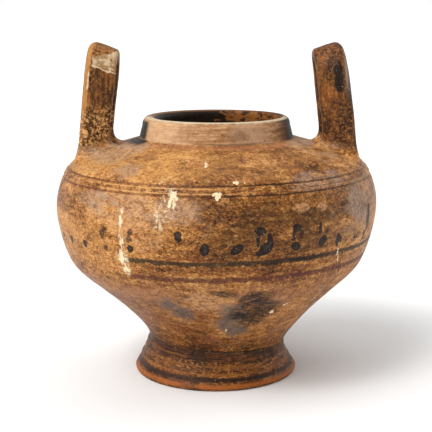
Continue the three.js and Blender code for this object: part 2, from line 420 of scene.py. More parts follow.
def make_body():
    """The thrown pot without its handles, as one closed mesh."""
    outer = outer_profile()
    inner = inner_profile()[:-1]
    under = underside_profile()[:-1]
    outer_points = lathe_points(outer, OUTER_COLUMNS, True)
    inner_points = lathe_points(inner, INNER_COLUMNS, False)
    under_points = lathe_points(under, INNER_COLUMNS, False)
    inner_start = len(outer_points)
    under_start = inner_start + len(inner_points)
    floor_centre = under_start + len(under_points)
    hollow_centre = floor_centre + 1
    points = np.vstack([
        outer_points,
        inner_points,
        under_points,
        [[0, 0, FLOOR_HEIGHT], [0, 0, FOOT_HOLLOW_HEIGHT]],
    ])

    faces = []
    slots = []
    for ring in range(len(outer) - 1):
        faces += ring_faces(ring * OUTER_COLUMNS, (ring + 1) * OUTER_COLUMNS, OUTER_COLUMNS)
        middle = (outer[ring, 1] + outer[ring + 1, 1]) / 2
        slot = LOWER_SLOT if middle < BELLY_FROM else BELLY_SLOT if middle < BELLY_TO else UPPER_SLOT
        slots += [slot] * OUTER_COLUMNS
    last_outer = (len(outer) - 1) * OUTER_COLUMNS
    faces += halving_faces(last_outer, inner_start, INNER_COLUMNS, False)
    for ring in range(len(inner) - 1):
        low = inner_start + ring * INNER_COLUMNS
        faces += ring_faces(low, low + INNER_COLUMNS, INNER_COLUMNS)
    faces += halving_faces(0, under_start, INNER_COLUMNS, True)
    for ring in range(len(under) - 1):
        low = under_start + ring * INNER_COLUMNS
        faces += [face[::-1] for face in ring_faces(low, low + INNER_COLUMNS, INNER_COLUMNS)]
    last_inner = under_start - INNER_COLUMNS
    last_under = floor_centre - INNER_COLUMNS
    for i in range(INNER_COLUMNS):
        following = (i + 1) % INNER_COLUMNS
        faces.append((last_inner + i, last_inner + following, floor_centre))
        faces.append((last_under + following, last_under + i, hollow_centre))
    slots += [INSIDE_SLOT] * (len(faces) - len(slots))
    return make_mesh("body", points, faces, slots)


def strap_section(width):
    """Points round the strap: away from the pot's axis, and out from the arch."""
    half = width / 2
    thin = -STRAP_THICKNESS / 2
    near_out = STRAP_THICKNESS / 2 - STRAP_SLANT / 2
    far_out = STRAP_THICKNESS / 2 + STRAP_SLANT / 2
    far_wide, far_deep = FAR_EDGE
    near_wide, near_deep = NEAR_EDGE
    corners = (
        (half - far_wide, thin + far_deep, far_wide, far_deep, -90),
        (half - far_wide, far_out - far_deep, far_wide, far_deep, 0),
        (-half + near_wide, near_out - near_deep, near_wide, near_deep, 90),
        (-half + near_wide, thin + near_deep, near_wide, near_deep, 180),
    )
    arcs = []
    for across, out, wide, deep, start in corners:
        angles = [math.radians(start + 90 * step / 7) for step in range(8)]
        arcs.append([(across + wide * math.cos(a), out + deep * math.sin(a)) for a in angles])
    section = []
    for arc, following, extra in zip(arcs, arcs[1:] + arcs[:1], (0, 5, 0, 5)):
        section += arc
        (across, out), (next_across, next_out) = arc[-1], following[0]
        for step in range(1, extra + 1):
            share = step / (extra + 1)
            section.append((across + (next_across - across) * share, out + (next_out - out) * share))
    return [
        (across, out + math.copysign(STRAP_CROWN, out) * (1 - (across / half) ** 2))
        for across, out in section
    ]


def handle_rings(side, reach, lean, bend, root, crest):
    """Rings of points along one loop handle, from its front foot to its back foot."""
    tilt = math.radians(lean)
    up = np.array([-side * math.sin(tilt), 0, math.cos(tilt)])
    across = np.array([side * math.cos(tilt), 0, math.sin(tilt)])
    along = np.array([0.0, 1.0, 0.0])
    base = np.array([side * reach, 0, shoulder_height(math.hypot(reach, LEG_SPACING / 2))])
    over = max((a - bend) * across[2] + out * up[2] for a, out in strap_section(crest))
    top = (HANDLE_TOP - base[2] - over) / up[2]
    springing = top - ARCH_RISE

    def ring(y, rise, out_y, out_up):
        climb = min(max(rise / top, 0), 1)
        width = root + (crest - root) * climb
        return np.array([
            base
            + along * (y + out * out_y)
            + up * (rise + out * out_up)
            + across * (a - bend * climb**2)
            for a, out in strap_section(width)
        ])

    def leg_ring(end, height):
        low = min(max(1 - height / ROOT_FLARE_HEIGHT, 0), 1)
        swell = 1 - math.sqrt(1 - low**2)
        points = ring(end * LEG_SPACING / 2, height, end, 0)
        middle = base + up * height
        middle[1] = end * LEG_SPACING / 2
        away = points - middle
        away[:, 2] = 0
        away = unit(away)
        flare = np.where(away[:, 0] * side < 0, ROOT_FLARE_INWARD, ROOT_FLARE_OUTWARD)
        points[:, 0] += away[:, 0] * flare * swell
        points[:, 1] += away[:, 1] * ROOT_FLARE_ALONG * swell
        share = (height + BODY_WALL / 2) / (springing + BODY_WALL / 2)
        settle = share**2 * (3 - 2 * share)
        ground = shoulder_height(np.hypot(points[:, 0], points[:, 1]))
        points[:, 2] = (ground + height) * (1 - settle) + points[:, 2] * settle
        return points

    share = np.linspace(0, 1, LEG_RINGS) ** 1.5
    heights = -BODY_WALL / 2 + (springing + BODY_WALL / 2) * share
    front = [leg_ring(-1, height) for height in heights]
    back = [leg_ring(1, height) for height in heights[::-1]]
    arch = []
    for step in range(1, ARCH_RINGS):
        angle = math.pi * step / ARCH_RINGS
        out = np.array([-math.cos(angle) / (LEG_SPACING / 2), math.sin(angle) / ARCH_RISE])
        out /= np.linalg.norm(out)
        y = -LEG_SPACING / 2 * math.cos(angle)
        arch.append(ring(y, springing + ARCH_RISE * math.sin(angle), out[0], out[1]))
    return front + arch + back


def make_handle(name):
    """One loop handle as a closed mesh whose feet reach into the wall."""
    sizes = HANDLES[name]
    rings = handle_rings(**sizes)
    count = len(rings[0])
    points = np.vstack(rings)
    middle = np.repeat([ring.mean(axis=0) for ring in rings], count, axis=0)
    away = unit(points - middle)
    seed = 20 + sizes["side"]
    uneven = 0.28 * lumps(points, 17, seed) + 0.10 * lumps(points, 5, seed + 5)
    points = points + away * uneven[:, None]
    points[:, 2] = np.minimum(points[:, 2], HANDLE_TOP)
    faces = []
    for ring in range(len(rings) - 1):
        faces += ring_faces(ring * count, (ring + 1) * count, count)
    faces.append(tuple(range(count))[::-1])
    faces.append(tuple(range(len(points) - count, len(points))))
    if sizes["side"] > 0:
        faces = [face[::-1] for face in faces]
    return make_mesh(name + "_handle", points, faces, [HANDLE_SLOT] * len(faces))


def joined(body, handles):
    """The body with the handles grown onto it, as one closed mesh."""
    before = len(body.data.vertices)
    for handle in handles:
        union = body.modifiers.new("union", "BOOLEAN")
        union.operation = "UNION"
        union.solver = "EXACT"
        union.object = handle
    view = bpy.context.evaluated_depsgraph_get()
    mesh = bpy.data.meshes.new_from_object(body.evaluated_get(view))
    known = kdtree.KDTree(before + sum(len(handle.data.vertices) for handle in handles))
    index = 0
    for piece in (body, *handles):
        for vertex in piece.data.vertices:
            known.insert(vertex.co, index)
            index += 1
    known.balance()
    for piece in (body, *handles):
        bpy.data.objects.remove(piece)
    mesh.name = "lebes"
    soften_seams(mesh, known)
    return placed("lebes", mesh)


def soften_seams(mesh, known):
    """Rounds the line where a handle's foot meets the shoulder, as wet clay is smoothed."""
    shape = bmesh.new()
    shape.from_mesh(mesh)
    seam = [vertex for vertex in shape.verts if known.find(vertex.co)[2] > OLD_POINT * MM]
    seam_tree = kdtree.KDTree(max(1, len(seam)))
    for index, vertex in enumerate(seam):
        seam_tree.insert(vertex.co, index)
    seam_tree.balance()
    near = [
        vertex
        for vertex in shape.verts
        if vertex.co.z > SEAM_FROM * MM and seam and seam_tree.find(vertex.co)[2] < SEAM_REACH * MM
    ]
    bmesh.ops.remove_doubles(shape, verts=near, dist=SEAM_MERGE * MM)
    near = [vertex for vertex in near if vertex.is_valid]
    for _ in range(SEAM_ROUNDS):
        bmesh.ops.smooth_vert(
            shape, verts=near, factor=0.5, use_axis_x=True, use_axis_y=True, use_axis_z=True
        )
    shape.to_mesh(mesh)
    shape.free()
    mesh.polygons.foreach_set("use_smooth", [True] * len(mesh.polygons))
    mesh.update()


def srgb(red, green, blue):
    """A colour given as 0 to 255 screen values, as the shader's linear colour."""
    linear = []
    for value in (red, green, blue):
        share = value / 255
        linear.append(share / 12.92 if share <= 0.04045 else ((share + 0.055) / 1.055) ** 2.4)
    return (*linear, 1.0)


# Palette of the fired clay, its slips, paints and dirt
PALE_TAN = srgb(210, 158, 98)
TAN = srgb(178, 121, 62)
GOLD = srgb(212, 150, 78)
OCHRE = srgb(136, 83, 34)
BROWN = srgb(88, 50, 19)
UMBER = srgb(42, 22, 9)
OLIVE_BROWN = srgb(98, 64, 24)
RED_BROWN = srgb(132, 74, 34)
ROSE_CLAY = srgb(160, 106, 72)
ORANGE_CLAY = srgb(160, 88, 34)
GREY_TAN = srgb(184, 148, 118)
GREY_HAZE_AND_HIGHLIGHT = srgb(98, 92, 89)
DUST_AND_SHEEN = srgb(158, 132, 112)
SOOT_AND_SHADE = srgb(18, 14, 12)
NEAR_BLACK = srgb(8, 6, 5)
PAINT = srgb(14, 11, 10)
PAINT_THICK = srgb(66, 58, 52)
PAINT_GREEN = srgb(46, 36, 22)
PAINT_RED = srgb(112, 56, 28)
LINE_RED = srgb(86, 38, 16)
BAND_RED = srgb(80, 38, 30)
CREAM = srgb(232, 212, 176)
PALE_ROSE = srgb(200, 148, 102)
PLASTER = srgb(160, 128, 88)
NECK_CLAY = srgb(204, 164, 124)

# Where the clay is lighter or darker: from and to in turn and its fade, from and
# to in height and its fade, and how much lighter
TONE_ZONES = (
    ((-95, -10), 14, (78, 121), 5, 0.10),
    ((-2, 56), 10, (108, 121), 5, -0.15),
    ((0, 56), 10, (90, 112), 6, -0.12),
    # The upper left shoulder's lift is partly the clay's tone and partly painted light
    ((-70, -6), 14, (129, 143), 2, 0.18),
    ((20, 50), 10, (129, 143), 2, -0.05),
    ((48, 86), 8, (129, 143), 2, 0.16),
    ((-14, 8), 5, (90, 106), 4, -0.07),
    ((-30, 25), 10, (80, 85), 2, -0.17),
    ((-80, -12), 10, (34, 72), 5, 0.03),
    ((-2, 60), 10, (34, 73), 5, 0.05),
    ((-82, -22), 8, (3, 20), 2, -0.12),
    ((-95, -52), 6, (106, 121), 3, -0.18),
    ((40, 85), 6, (84, 106), 4, 0.14),
    ((34, 80), 8, (76, 83), 3, 0.20),
    ((-181, 181), 1, (20, 32), 5, -0.20),
    ((-181, 181), 1, (-9, 20), 1.5, -0.22),
)

# Broad washes of another colour: the same four zone values, a colour and its strength
WASHES = (
    # The gold on the upper left shoulder is partly the clay's colour and partly painted light
    ((-80, -8), 12, (129, 141), 3, GOLD, 0.85),
    ((-8, 30), 12, (129, 141), 3, TAN, 0.5),
    # Painted sheen: a grey wash over the left of the upper belly
    ((-46, -4), 8, (109, 121), 4, GREY_TAN, 0.75),
    ((-90, -44), 8, (84, 108), 6, GOLD, 0.5),
    ((0, 52), 10, (92, 120), 5, OLIVE_BROWN, 0.55),
    # Painted sheen: a grey wash down the right of the upper belly
    ((44, 84), 8, (96, 124), 6, GREY_TAN, 0.55),
    ((-30, 60), 10, (80, 84), 2, RED_BROWN, 0.5),
    ((-80, 30), 14, (56, 73), 4, ROSE_CLAY, 0.85),
    ((14, 80), 10, (54, 73), 6, ROSE_CLAY, 0.6),
    ((-72, 0), 12, (24, 58), 6, RED_BROWN, 0.8),
    ((-8, 80), 12, (26, 48), 6, ROSE_CLAY, 0.6),
    ((-82, -48), 6, (134, 144), 2, GREY_TAN, 0.9),
    ((52, 86), 6, (133, 144), 3, GREY_TAN, 0.7),
    ((-82, -22), 8, (3, 20), 2, BROWN, 0.5),
)

# The length of one degree of turn on the rolled-out wall, and the spacing of the dots
# on the back
DEGREE_LENGTH = math.radians(1) * BELLY_RADIUS * 0.985
BACK_DOT_SPACING = 11 * DEGREE_LENGTH

# Touches of the brush in the dotted row: turn in degrees, height, half width,
# half height, slant in degrees (towards the right when positive), strength
DARK_TOUCHES = (
    (-68.5, 91.5, 2.0, 1.5, 0, 0.55),
    (-60.0, 91.3, 2.1, 2.2, 0, 0.85),
    (-50.3, 91.5, 1.9, 2.2, 0, 0.92),
    (-29.0, 93.2, 1.8, 2.0, 0, 1.0),
    (-12.2, 102.9, 2.0, 1.9, 0, 1.0),
    (-12.0, 100.8, 1.8, 1.6, 0, 0.85),
    (-3.7, 95.0, 2.4, 3.3, 8, 1.0),
    (6.5, 95.0, 2.3, 3.9, 52, 1.0),
    (14.0, 104.4, 3.0, 2.1, 6, 1.0),
    (13.2, 99.8, 0.9, 4.2, 0, 0.85),
    (17.2, 99.6, 1.5, 3.4, -14, 1.0),
    (16.0, 94.8, 2.9, 4.4, 50, 1.0),
    (13.9, 92.3, 2.0, 1.8, 0, 0.95),
    (26.5, 104.7, 2.5, 2.2, 0, 1.0),
    (25.3, 100.8, 0.9, 3.2, 6, 0.95),
    (26.3, 94.6, 2.8, 2.2, 20, 1.0),
    (35.6, 103.2, 1.0, 3.4, 6, 0.72),
    (37.0, 95.7, 2.2, 3.3, 42, 1.0),
    (44.2, 94.4, 1.5, 3.9, 4, 0.92),
    (45.6, 94.3, 1.2, 1.6, 0, 0.85),
    (54.0, 93.2, 1.2, 0.8, 0, 0.7),
)
FADED_TOUCHES = (
    (-60.0, 102.5, 1.2, 1.0, 0, 0.45),
    (-50.3, 103.0, 1.3, 1.2, 0, 0.45),
    (-40.4, 99.6, 2.0, 2.8, 10, 0.85),
    (-39.0, 103.0, 1.6, 1.4, 0, 0.75),
    (-39.5, 92.0, 1.8, 2.2, 0, 0.7),
    (-29.3, 98.6, 1.8, 2.8, 0, 0.7),
    (-28.6, 102.6, 1.8, 1.8, 0, 0.7),
    (28.2, 101.0, 1.7, 2.8, 0, 0.65),
    (-12.0, 99.6, 1.8, 1.3, 0, 0.8),
    (38.5, 101.0, 1.5, 2.6, 0, 0.6),
)
GREY_SMUDGES = (
    (64.0, 102.0, 2.6, 8.0, 4, 1.0),
    (62.0, 92.5, 1.8, 3.0, 10, 0.8),
)

# Fire clouds and stains on the lower bowl
STAINS = (
    (19.5, 51.0, 10.5, 6.5, -18, 1.0),
    (15.0, 63.0, 8.5, 5.0, -10, 0.9),
    (19.0, 57.0, 7.0, 4.5, 0, 1.0),
    (17.0, 52.5, 8.0, 5.0, 0, 1.0),
    (9.0, 52.5, 5.5, 3.5, 0, 0.8),
    (2.8, 68.2, 6.5, 1.8, 6, 1.0),
    (-9.5, 36.2, 4.4, 1.3, 5, 0.55),
    (-12.0, 66.0, 3.0, 1.0, 0, 0.5),
)
GREY_HAZES = (
    (7.0, 50.5, 8.0, 7.5, 0, 0.95),
    (10.5, 40.0, 11.0, 5.5, 0, 0.75),
    (-18.0, 53.5, 9.0, 6.5, 20, 0.75),
)
# Grey hazes on the upper belly and shoulder: dust with a painted sheen over it
DUST_AND_SHEEN_HAZES = (
    (-44.0, 118.0, 12.0, 3.5, 0, 0.5),
    (57.0, 112.0, 9.0, 8.0, 0, 0.8),
    (40.0, 127.0, 16.0, 3.5, 0, 0.6),
    (-38.0, 132.0, 8.0, 3.0, 0, 0.5),
)
PALE_PATCHES = (
    (-1.0, 62.0, 15.0, 5.5, 0, 0.8),
    (-30.0, 108.0, 9.0, 9.0, 0, 0.55),
    (-24.0, 100.0, 8.0, 6.0, 0, 0.5),
    (24.0, 60.5, 6.0, 1.6, -20, 0.6),
    (28.5, 115.0, 3.6, 1.9, 0, 0.8),
    (37.0, 114.6, 3.0, 1.6, 0, 0.7),
    (65.0, 119.5, 4.0, 1.8, 0, 0.6),
    (47.0, 50.6, 3.6, 1.5, 0, 0.6),
    (50.0, 57.0, 3.0, 1.6, 0, 0.6),
    (47.0, 63.0, 2.4, 1.4, 0, 0.6),
)
SCUFFS = (
    (-18.0, 111.0, 5.5, 6.5, -15, 0.65),
    (-16.0, 121.5, 4.0, 4.5, 0, 0.7),
    (-18.0, 129.5, 4.0, 2.0, 0, 0.6),
    (-4.6, 137.0, 2.0, 1.6, 0, 0.5),
    (-20.0, 116.0, 4.0, 3.0, 0, 0.6),
)


class Value:
    """A number that a material works out at every place, and the sums done with it."""

    def __init__(self, paint, socket):
        self.paint = paint
        self.socket = socket

    def __add__(self, other):
        return self.paint.math("ADD", self, other)

    def __sub__(self, other):
        return self.paint.math("SUBTRACT", self, other)

    def __rsub__(self, other):
        return self.paint.math("SUBTRACT", other, self)

    def __mul__(self, other):
        return self.paint.math("MULTIPLY", self, other)

    def __truediv__(self, other):
        return self.paint.math("DIVIDE", self, other)

    def __abs__(self):
        return self.paint.math("ABSOLUTE", self)

    def most(self, other):
        """The larger of the two."""
        return self.paint.math("MAXIMUM", self, other)

    def ease(self, start, end):
        """0 at start and 1 at end, with a smooth slope between."""
        inputs = {"Value": self, "From Min": start, "From Max": end}
        return self.paint.number("ShaderNodeMapRange", inputs, interpolation_type="SMOOTHSTEP")

    def window(self, low, high, soft):
        """1 from low to high, fading to 0 over soft on both sides."""
        return self.ease(low - soft, low + soft) * self.ease(high + soft, high - soft)

    def blend(self, below, above):
        """From one value where this is 0 to another where it is 1."""
        return self.paint.number("ShaderNodeMix", {0: self, 2: below, 3: above}, data_type="FLOAT")

    def broken_up(self, low=0.30, high=0.62):
        """The mask with its weaker parts broken up, as wear breaks paint and dirt, and as the painted
        highlights and shade are broken too.
        """
        shaken = self + (self.paint.broken - 0.5) * 2.4
        return shaken.ease(low, high) * self.ease(0.02, 0.25)


class Paint:
    """Builds one node material, with coordinates in millimetres on the pot."""

    def __init__(self, name):
        self.material = bpy.data.materials.new(name)
        self.material.use_nodes = True
        self.tree = self.material.node_tree
        self.tree.nodes.clear()
        self.place = self.node("ShaderNodeTexCoord").outputs["Object"]
        at = self.node("ShaderNodeVectorMath", {0: self.place, "Scale": 1 / MM}, operation="SCALE")
        apart = self.node("ShaderNodeSeparateXYZ", {"Vector": at.outputs[0]})
        self.x, self.y, self.z = (Value(self, output) for output in apart.outputs)
        flat = self.node("ShaderNodeCombineXYZ", {"X": self.x, "Y": self.y}).outputs[0]
        self.radius = self.number("ShaderNodeVectorMath", {0: flat}, "Value", operation="LENGTH")
        self.turn = self.math("ARCTAN2", self.x, self.y * -1) * (180 / math.pi)
        self.side = self.x / self.radius.most(1)
        self.facing = abs(self.turn).ease(165, 100)
        self.stretched = {}

    def node(self, kind, inputs=None, **settings):
        """Adds a node with its settings, and its inputs as links or plain values."""
        made = self.tree.nodes.new(kind)
        for key, value in settings.items():
            setattr(made, key, value)
        for key, value in (inputs or {}).items():
            source = value.socket if isinstance(value, Value) else value
            if isinstance(source, bpy.types.NodeSocket):
                self.tree.links.new(source, made.inputs[key])
            else:
                made.inputs[key].default_value = source
        return made

    def number(self, kind, inputs, output=0, **settings):
        """Adds a node that gives a number."""
        return Value(self, self.node(kind, inputs, **settings).outputs[output])

    def math(self, operation, first, second=0.0):
        """One Math node."""
        return self.number("ShaderNodeMath", {0: first, 1: second}, operation=operation)

    def vector(self, operation, first, second):
        """One Vector Math node that gives a vector."""
        return self.node("ShaderNodeVectorMath", {0: first, 1: second}, operation=operation).outputs[0]

    def dot(self, first, second):
        """The dot product of two vectors."""
        return self.number("ShaderNodeVectorMath", {0: first, 1: second}, "Value", operation="DOT_PRODUCT")

    def grain(self, size, detail=3.0, rough=0.55, flat=1, tall=1, twist=0.0):
        """Noise from 0 to 1 with lumps of about this size, stretched sideways or upwards."""
        if (flat, tall) not in self.stretched:
            scale = (1 / MM / flat, 1 / MM / flat, 1 / MM / tall)
            squeezed = self.node("ShaderNodeMapping", {"Vector": self.place, "Scale": scale})
            self.stretched[(flat, tall)] = squeezed.outputs[0]
        inputs = {
            "Vector": self.stretched[(flat, tall)],
            "Scale": 1 / size,
            "Detail": detail,
            "Roughness": rough,
            "Distortion": twist,
        }
        return self.number("ShaderNodeTexNoise", inputs)

    def mix(self, mask, below, above):
        """Two colours mixed by a mask."""
        return self.node("ShaderNodeMix", {0: mask, 6: below, 7: above}, data_type="RGBA").outputs[2]

    def stops(self, value, pairs):
        """A colour ramp of (place, colour) pairs."""
        made = self.node("ShaderNodeValToRGB", {"Fac": value})
        elements = made.color_ramp.elements
        elements[0].position, elements[0].color = pairs[0]
        elements[1].position, elements[1].color = pairs[-1]
        for place, colour in pairs[1:-1]:
            added = elements.new(place)
            added.color = colour
        return made.outputs[0]

    def cover(self, mask, colour, rough=None):
        """Lays a colour over what is there, with its own roughness if it has one."""
        self.colour = self.mix(mask, self.colour, colour)
        if rough is not None:
            self.rough = mask.blend(self.rough, rough)

    def grainy(self, colour):
        """A colour with its darker grains."""
        red, green, blue, _ = colour
        return self.mix(self.grit, (red * 0.42, green * 0.38, blue * 0.34, 1), colour)

    def clouded(self, rows):
        """Soft ovals broken up like smoke, as a fire cloud or a stain is."""
        near = self.touches(self.flat, rows, 0.9)
        shaken = (self.cloudy - 0.5) * 2.6
        ragged = (self.broken - 0.5) * 1.6
        fine = (self.gritty - 0.5) * 2.4
        level = (near + shaken) + (ragged + fine)
        return level.ease(0.05, 0.95) * near.ease(0.02, 0.25)

    def unrolled(self, wander):
        """The wall rolled out flat: millimetres round and up, with wandering edges."""
        across = self.turn * DEGREE_LENGTH
        flat = self.node("ShaderNodeCombineXYZ", {"X": across, "Y": self.level}).outputs[0]
        aside = self.grain(1.9, detail=2.0) - 0.5
        upward = self.grain(2.1, detail=2.0) - 0.5
        shake = self.node("ShaderNodeCombineXYZ", {"X": aside, "Y": upward}).outputs[0]
        sized = self.node("ShaderNodeVectorMath", {0: shake, "Scale": wander}, operation="SCALE")
        return self.vector("ADD", flat, sized.outputs[0])

    def touches(self, flat, rows, soft):
        """The union of slanted ovals on the rolled-out wall."""
        union = 0.0
        for turn, height, half_width, half_height, slant, strength in rows:
            centred = self.vector("SUBTRACT", flat, (turn * DEGREE_LENGTH, height, 0))
            lean = math.radians(slant)
            wide = self.dot(centred, (math.cos(lean) / half_width, -math.sin(lean) / half_width, 0))
            tall = self.dot(centred, (math.sin(lean) / half_height, math.cos(lean) / half_height, 0))
            inside = (wide * wide + tall * tall).ease((1 + soft) ** 2, (1 - soft) ** 2)
            union = self.math("MAXIMUM", union, inside * strength)
        return union

    def finish(self):
        """Joins colour, roughness and height to the shader."""
        inputs = {"Strength": 1.0, "Distance": MM, "Height": self.height}
        relief = self.node("ShaderNodeBump", inputs)
        shader = self.node(
            "ShaderNodeBsdfPrincipled",
            {"Base Color": self.colour, "Roughness": self.rough, "Normal": relief.outputs[0]},
        )
        shader.inputs["Specular IOR Level"].default_value = 0.16
        output = self.node("ShaderNodeOutputMaterial")
        self.tree.links.new(shader.outputs[0], output.inputs["Surface"])
        return self.material


def tilted_level(paint):
    """Height on the pot with the slant of the potter's lines taken out."""
    most = 2.0
    made = paint.node("ShaderNodeFloatCurve", {"Value": paint.z / HANDLE_TOP})
    curve = made.mapping.curves[0]
    for height, tilt in SIDE_TILT[1:-1]:
        curve.points.new(height / HANDLE_TOP, 0.5 + tilt / most / 2)
    curve.points[0].location = (0, 0.5)
    curve.points[-1].location = (1, 0.5)
    for point in curve.points:
        point.handle_type = "VECTOR"
    made.mapping.update()
    tilt = (Value(paint, made.outputs[0]) - 0.5) * (most * 2)
    return paint.z - tilt * paint.side


def ground_tone(paint):
    """How light the worn clay is, from 0 to 1, before any paint or dirt."""
    broad = paint.grain(46, detail=2.0)
    cloud = paint.grain(12, detail=4.0, rough=0.6, twist=0.4, flat=1.8)
    mottle = paint.grain(3.2, detail=4.0, rough=0.7, flat=1.8)
    fine = paint.grain(0.9, detail=3.0, rough=0.8, flat=1.8)
    wheel = paint.grain(2.4, detail=3.0, flat=6)
    tone = (broad - 0.5) * 0.4
    for layer, share in ((cloud, 0.75), (mottle, 1.05), (fine, 2.0), (wheel, 0.7)):
        tone = tone + (layer - 0.5) * share
    return tone + 0.5


def reaching(zones, low, high):
    """The zones that reach into a range of height."""
    return [zone for zone in zones if zone[2][0] - zone[3] < high and zone[2][1] + zone[3] > low]


def marks_near(rows, low, high):
    """The marks that reach into a range of height."""
    return [row for row in rows if low - 2 * row[3] - 4 < row[1] < high + 2 * row[3] + 4]


def bare_clay(name, low, high):
    """The worn clay that the pot's outside and its handles share, over a range of height."""
    paint = Paint(name)
    turn = paint.turn
    level = paint.level = tilted_level(paint)
    tone = ground_tone(paint)
    for turns, turn_fade, levels, level_fade, shift in reaching(TONE_ZONES, low, high):
        tone = tone + turn.window(*turns, turn_fade) * level.window(*levels, level_fade) * shift

    shades = ((0.0, UMBER), (0.27, BROWN), (0.5, OCHRE), (0.7, TAN), (0.95, PALE_TAN))
    paint.colour = paint.stops(tone, shades)
    paint.rough = paint.grain(7).blend(0.34, 0.62)
    fine_relief = paint.grain(0.9, detail=3.0, rough=0.6)
    coarse_relief = paint.grain(4.5, detail=3.0)
    wheel_relief = paint.grain(1.3, detail=2.0, flat=14)
    paint.height = fine_relief * 0.26 + coarse_relief * 0.40 + wheel_relief * 0.20

    paint.broken = paint.grain(3.2, detail=5.0, rough=0.75)
    paint.cloudy = paint.grain(8, detail=6.0, rough=0.72, flat=1.8)
    paint.gritty = paint.grain(1.1, detail=4.0, rough=0.8, flat=1.8)
    paint.grit = (paint.gritty + (paint.broken - 0.5) * 0.5).ease(0.38, 0.56)
    for turns, turn_fade, levels, level_fade, colour, strength in reaching(WASHES, low, high):
        zone = turn.window(*turns, turn_fade) * level.window(*levels, level_fade)
        paint.cover(zone * paint.cloudy.ease(0.38, 0.60) * strength, paint.grainy(colour))

    # Dark and pale flecks that the years have left all over
    fleck = paint.grain(2.3, detail=5.0, rough=0.8, flat=1.8)
    paint.cover(fleck.ease(0.46, 0.38) * 0.4, BROWN)
    paint.cover(fleck.ease(0.54, 0.62) * 0.3, PALE_TAN)
    return paint


def outside_material(name, low, high, layers):
    """The stained outside of the pot over a range of height, with the layers found there."""
    paint = bare_clay(name, low, high)
    paint.flat = paint.unrolled(1.1)
    # The upper grey hazes include a painted sheen
    hazes = ((PALE_PATCHES, PALE_ROSE, 0.75), (DUST_AND_SHEEN_HAZES, DUST_AND_SHEEN, 0.7), (GREY_HAZES, GREY_HAZE_AND_HIGHLIGHT, 0.8))
    for marks, colour, strength in hazes:
        rows = marks_near(marks, low, high)
        if rows:
            paint.cover(paint.clouded(rows) * strength, paint.grainy(colour))
    rows = marks_near(STAINS, low, high)
    if rows:
        smoke = paint.grain(2.0, detail=5.0, rough=0.75, flat=1.8).ease(0.60, 0.48).blend(0.5, 1.0)
        paint.cover(paint.clouded(rows) * smoke * 0.95, SOOT_AND_SHADE)
    layers(paint)

    # Pale flakes, flaked streaks, scuffs and specks over everything
    rows = [(*row[:5], 1.0) for row in marks_near(FLAKES, low, high) if row[0] > STREAK_EDGE]
    flakes = paint.touches(paint.unrolled(3.0), rows, 0.6)
    paint.cover(flakes.broken_up(0.62, 0.82) * 0.92, CREAM, rough=0.8)
    rows = marks_near(STRANDS, low, high)
    if rows:
        strands = paint.touches(paint.flat, rows, 0.5)
        split = paint.grain(2.0, detail=4.0, rough=0.75, tall=1.9).ease(0.46, 0.54)
        paint.cover(strands * split, CREAM, rough=0.8)
    rows = marks_near(SCUFFS, low, high)
    if rows:
        scuffs = paint.touches(paint.flat, rows, 0.6)
        hatch = paint.grain(1.5, detail=4.0, rough=0.7).ease(0.54, 0.62)
        paint.cover(scuffs * hatch, CREAM, rough=0.8)
    speckles(paint)
    return paint.finish()


def belly_layers(paint):
    """The painted bands and the dotted row."""
    turn, flat, broken = paint.turn, paint.flat, paint.broken

    # Painted bands round the belly
    wave = (paint.grain(24) - 0.5) * 1.2
    ripple = (broken - 0.5) * 2.2
    level = paint.level + wave + ripple
    back = abs(turn).ease(75, 95)
    blacker = turn.window(8, 48, 8)
    dark_reach = turn.window(-33, 90, 5).most(back * 0.8)
    dark_band = level.window(85.2, 88.3, 1.3) * dark_reach * blacker.blend(0.93, 1.0)
    dark_colour = paint.mix(blacker, PAINT_GREEN, PAINT)
    paint.cover(dark_band.broken_up(0.3, 0.9) * 0.9, dark_colour, rough=0.5)
    red_reach = turn.window(-34, 90, 8).most(back * 0.8)
    red_band = level.window(75.4, 79.0, 1.7) * red_reach
    paint.cover(red_band.broken_up(0.3, 0.95) * 0.85, BAND_RED, rough=0.55)
    streak = level.window(88.8, 90.2, 0.6) * turn.window(-20, -3, 5)
    paint.cover(streak.broken_up() * 0.7, PAINT_RED)

    # The dotted row
    faded = paint.touches(flat, FADED_TOUCHES, 0.35)
    paint.cover(faded.broken_up(0.35, 0.85) * 0.85, UMBER)
    grey = paint.touches(flat, GREY_SMUDGES, 0.5)
    paint.cover(grey.broken_up(0.3, 0.9) * 0.9, PAINT)
    dark = paint.touches(flat, DARK_TOUCHES, 0.16)
    dark = dark.most(back_dots(paint) * back * 0.6)
    solid_dark = (dark + broken * 0.35).ease(0.38, 0.72)
    paint.cover(solid_dark * 0.94, PAINT, rough=0.42)
    middles = [(*row[:2], row[2] * 0.6, row[3] * 0.6, *row[4:]) for row in DARK_TOUCHES]
    thick = paint.touches(flat, middles, 0.5)
    paint.cover(thick * broken.ease(0.45, 0.6) * 0.7, PAINT_THICK)


def back_dots(paint):
    """A plain row of dots for the side that faces away."""
    apart = paint.node("ShaderNodeSeparateXYZ", {"Vector": paint.flat})
    across = paint.math("PINGPONG", apart.outputs[0], BACK_DOT_SPACING / 2) / 2.3
    up = (Value(paint, apart.outputs[1]) - 93.5) / 2.8
    return (across * across + up * up).ease(1.3, 0.7)


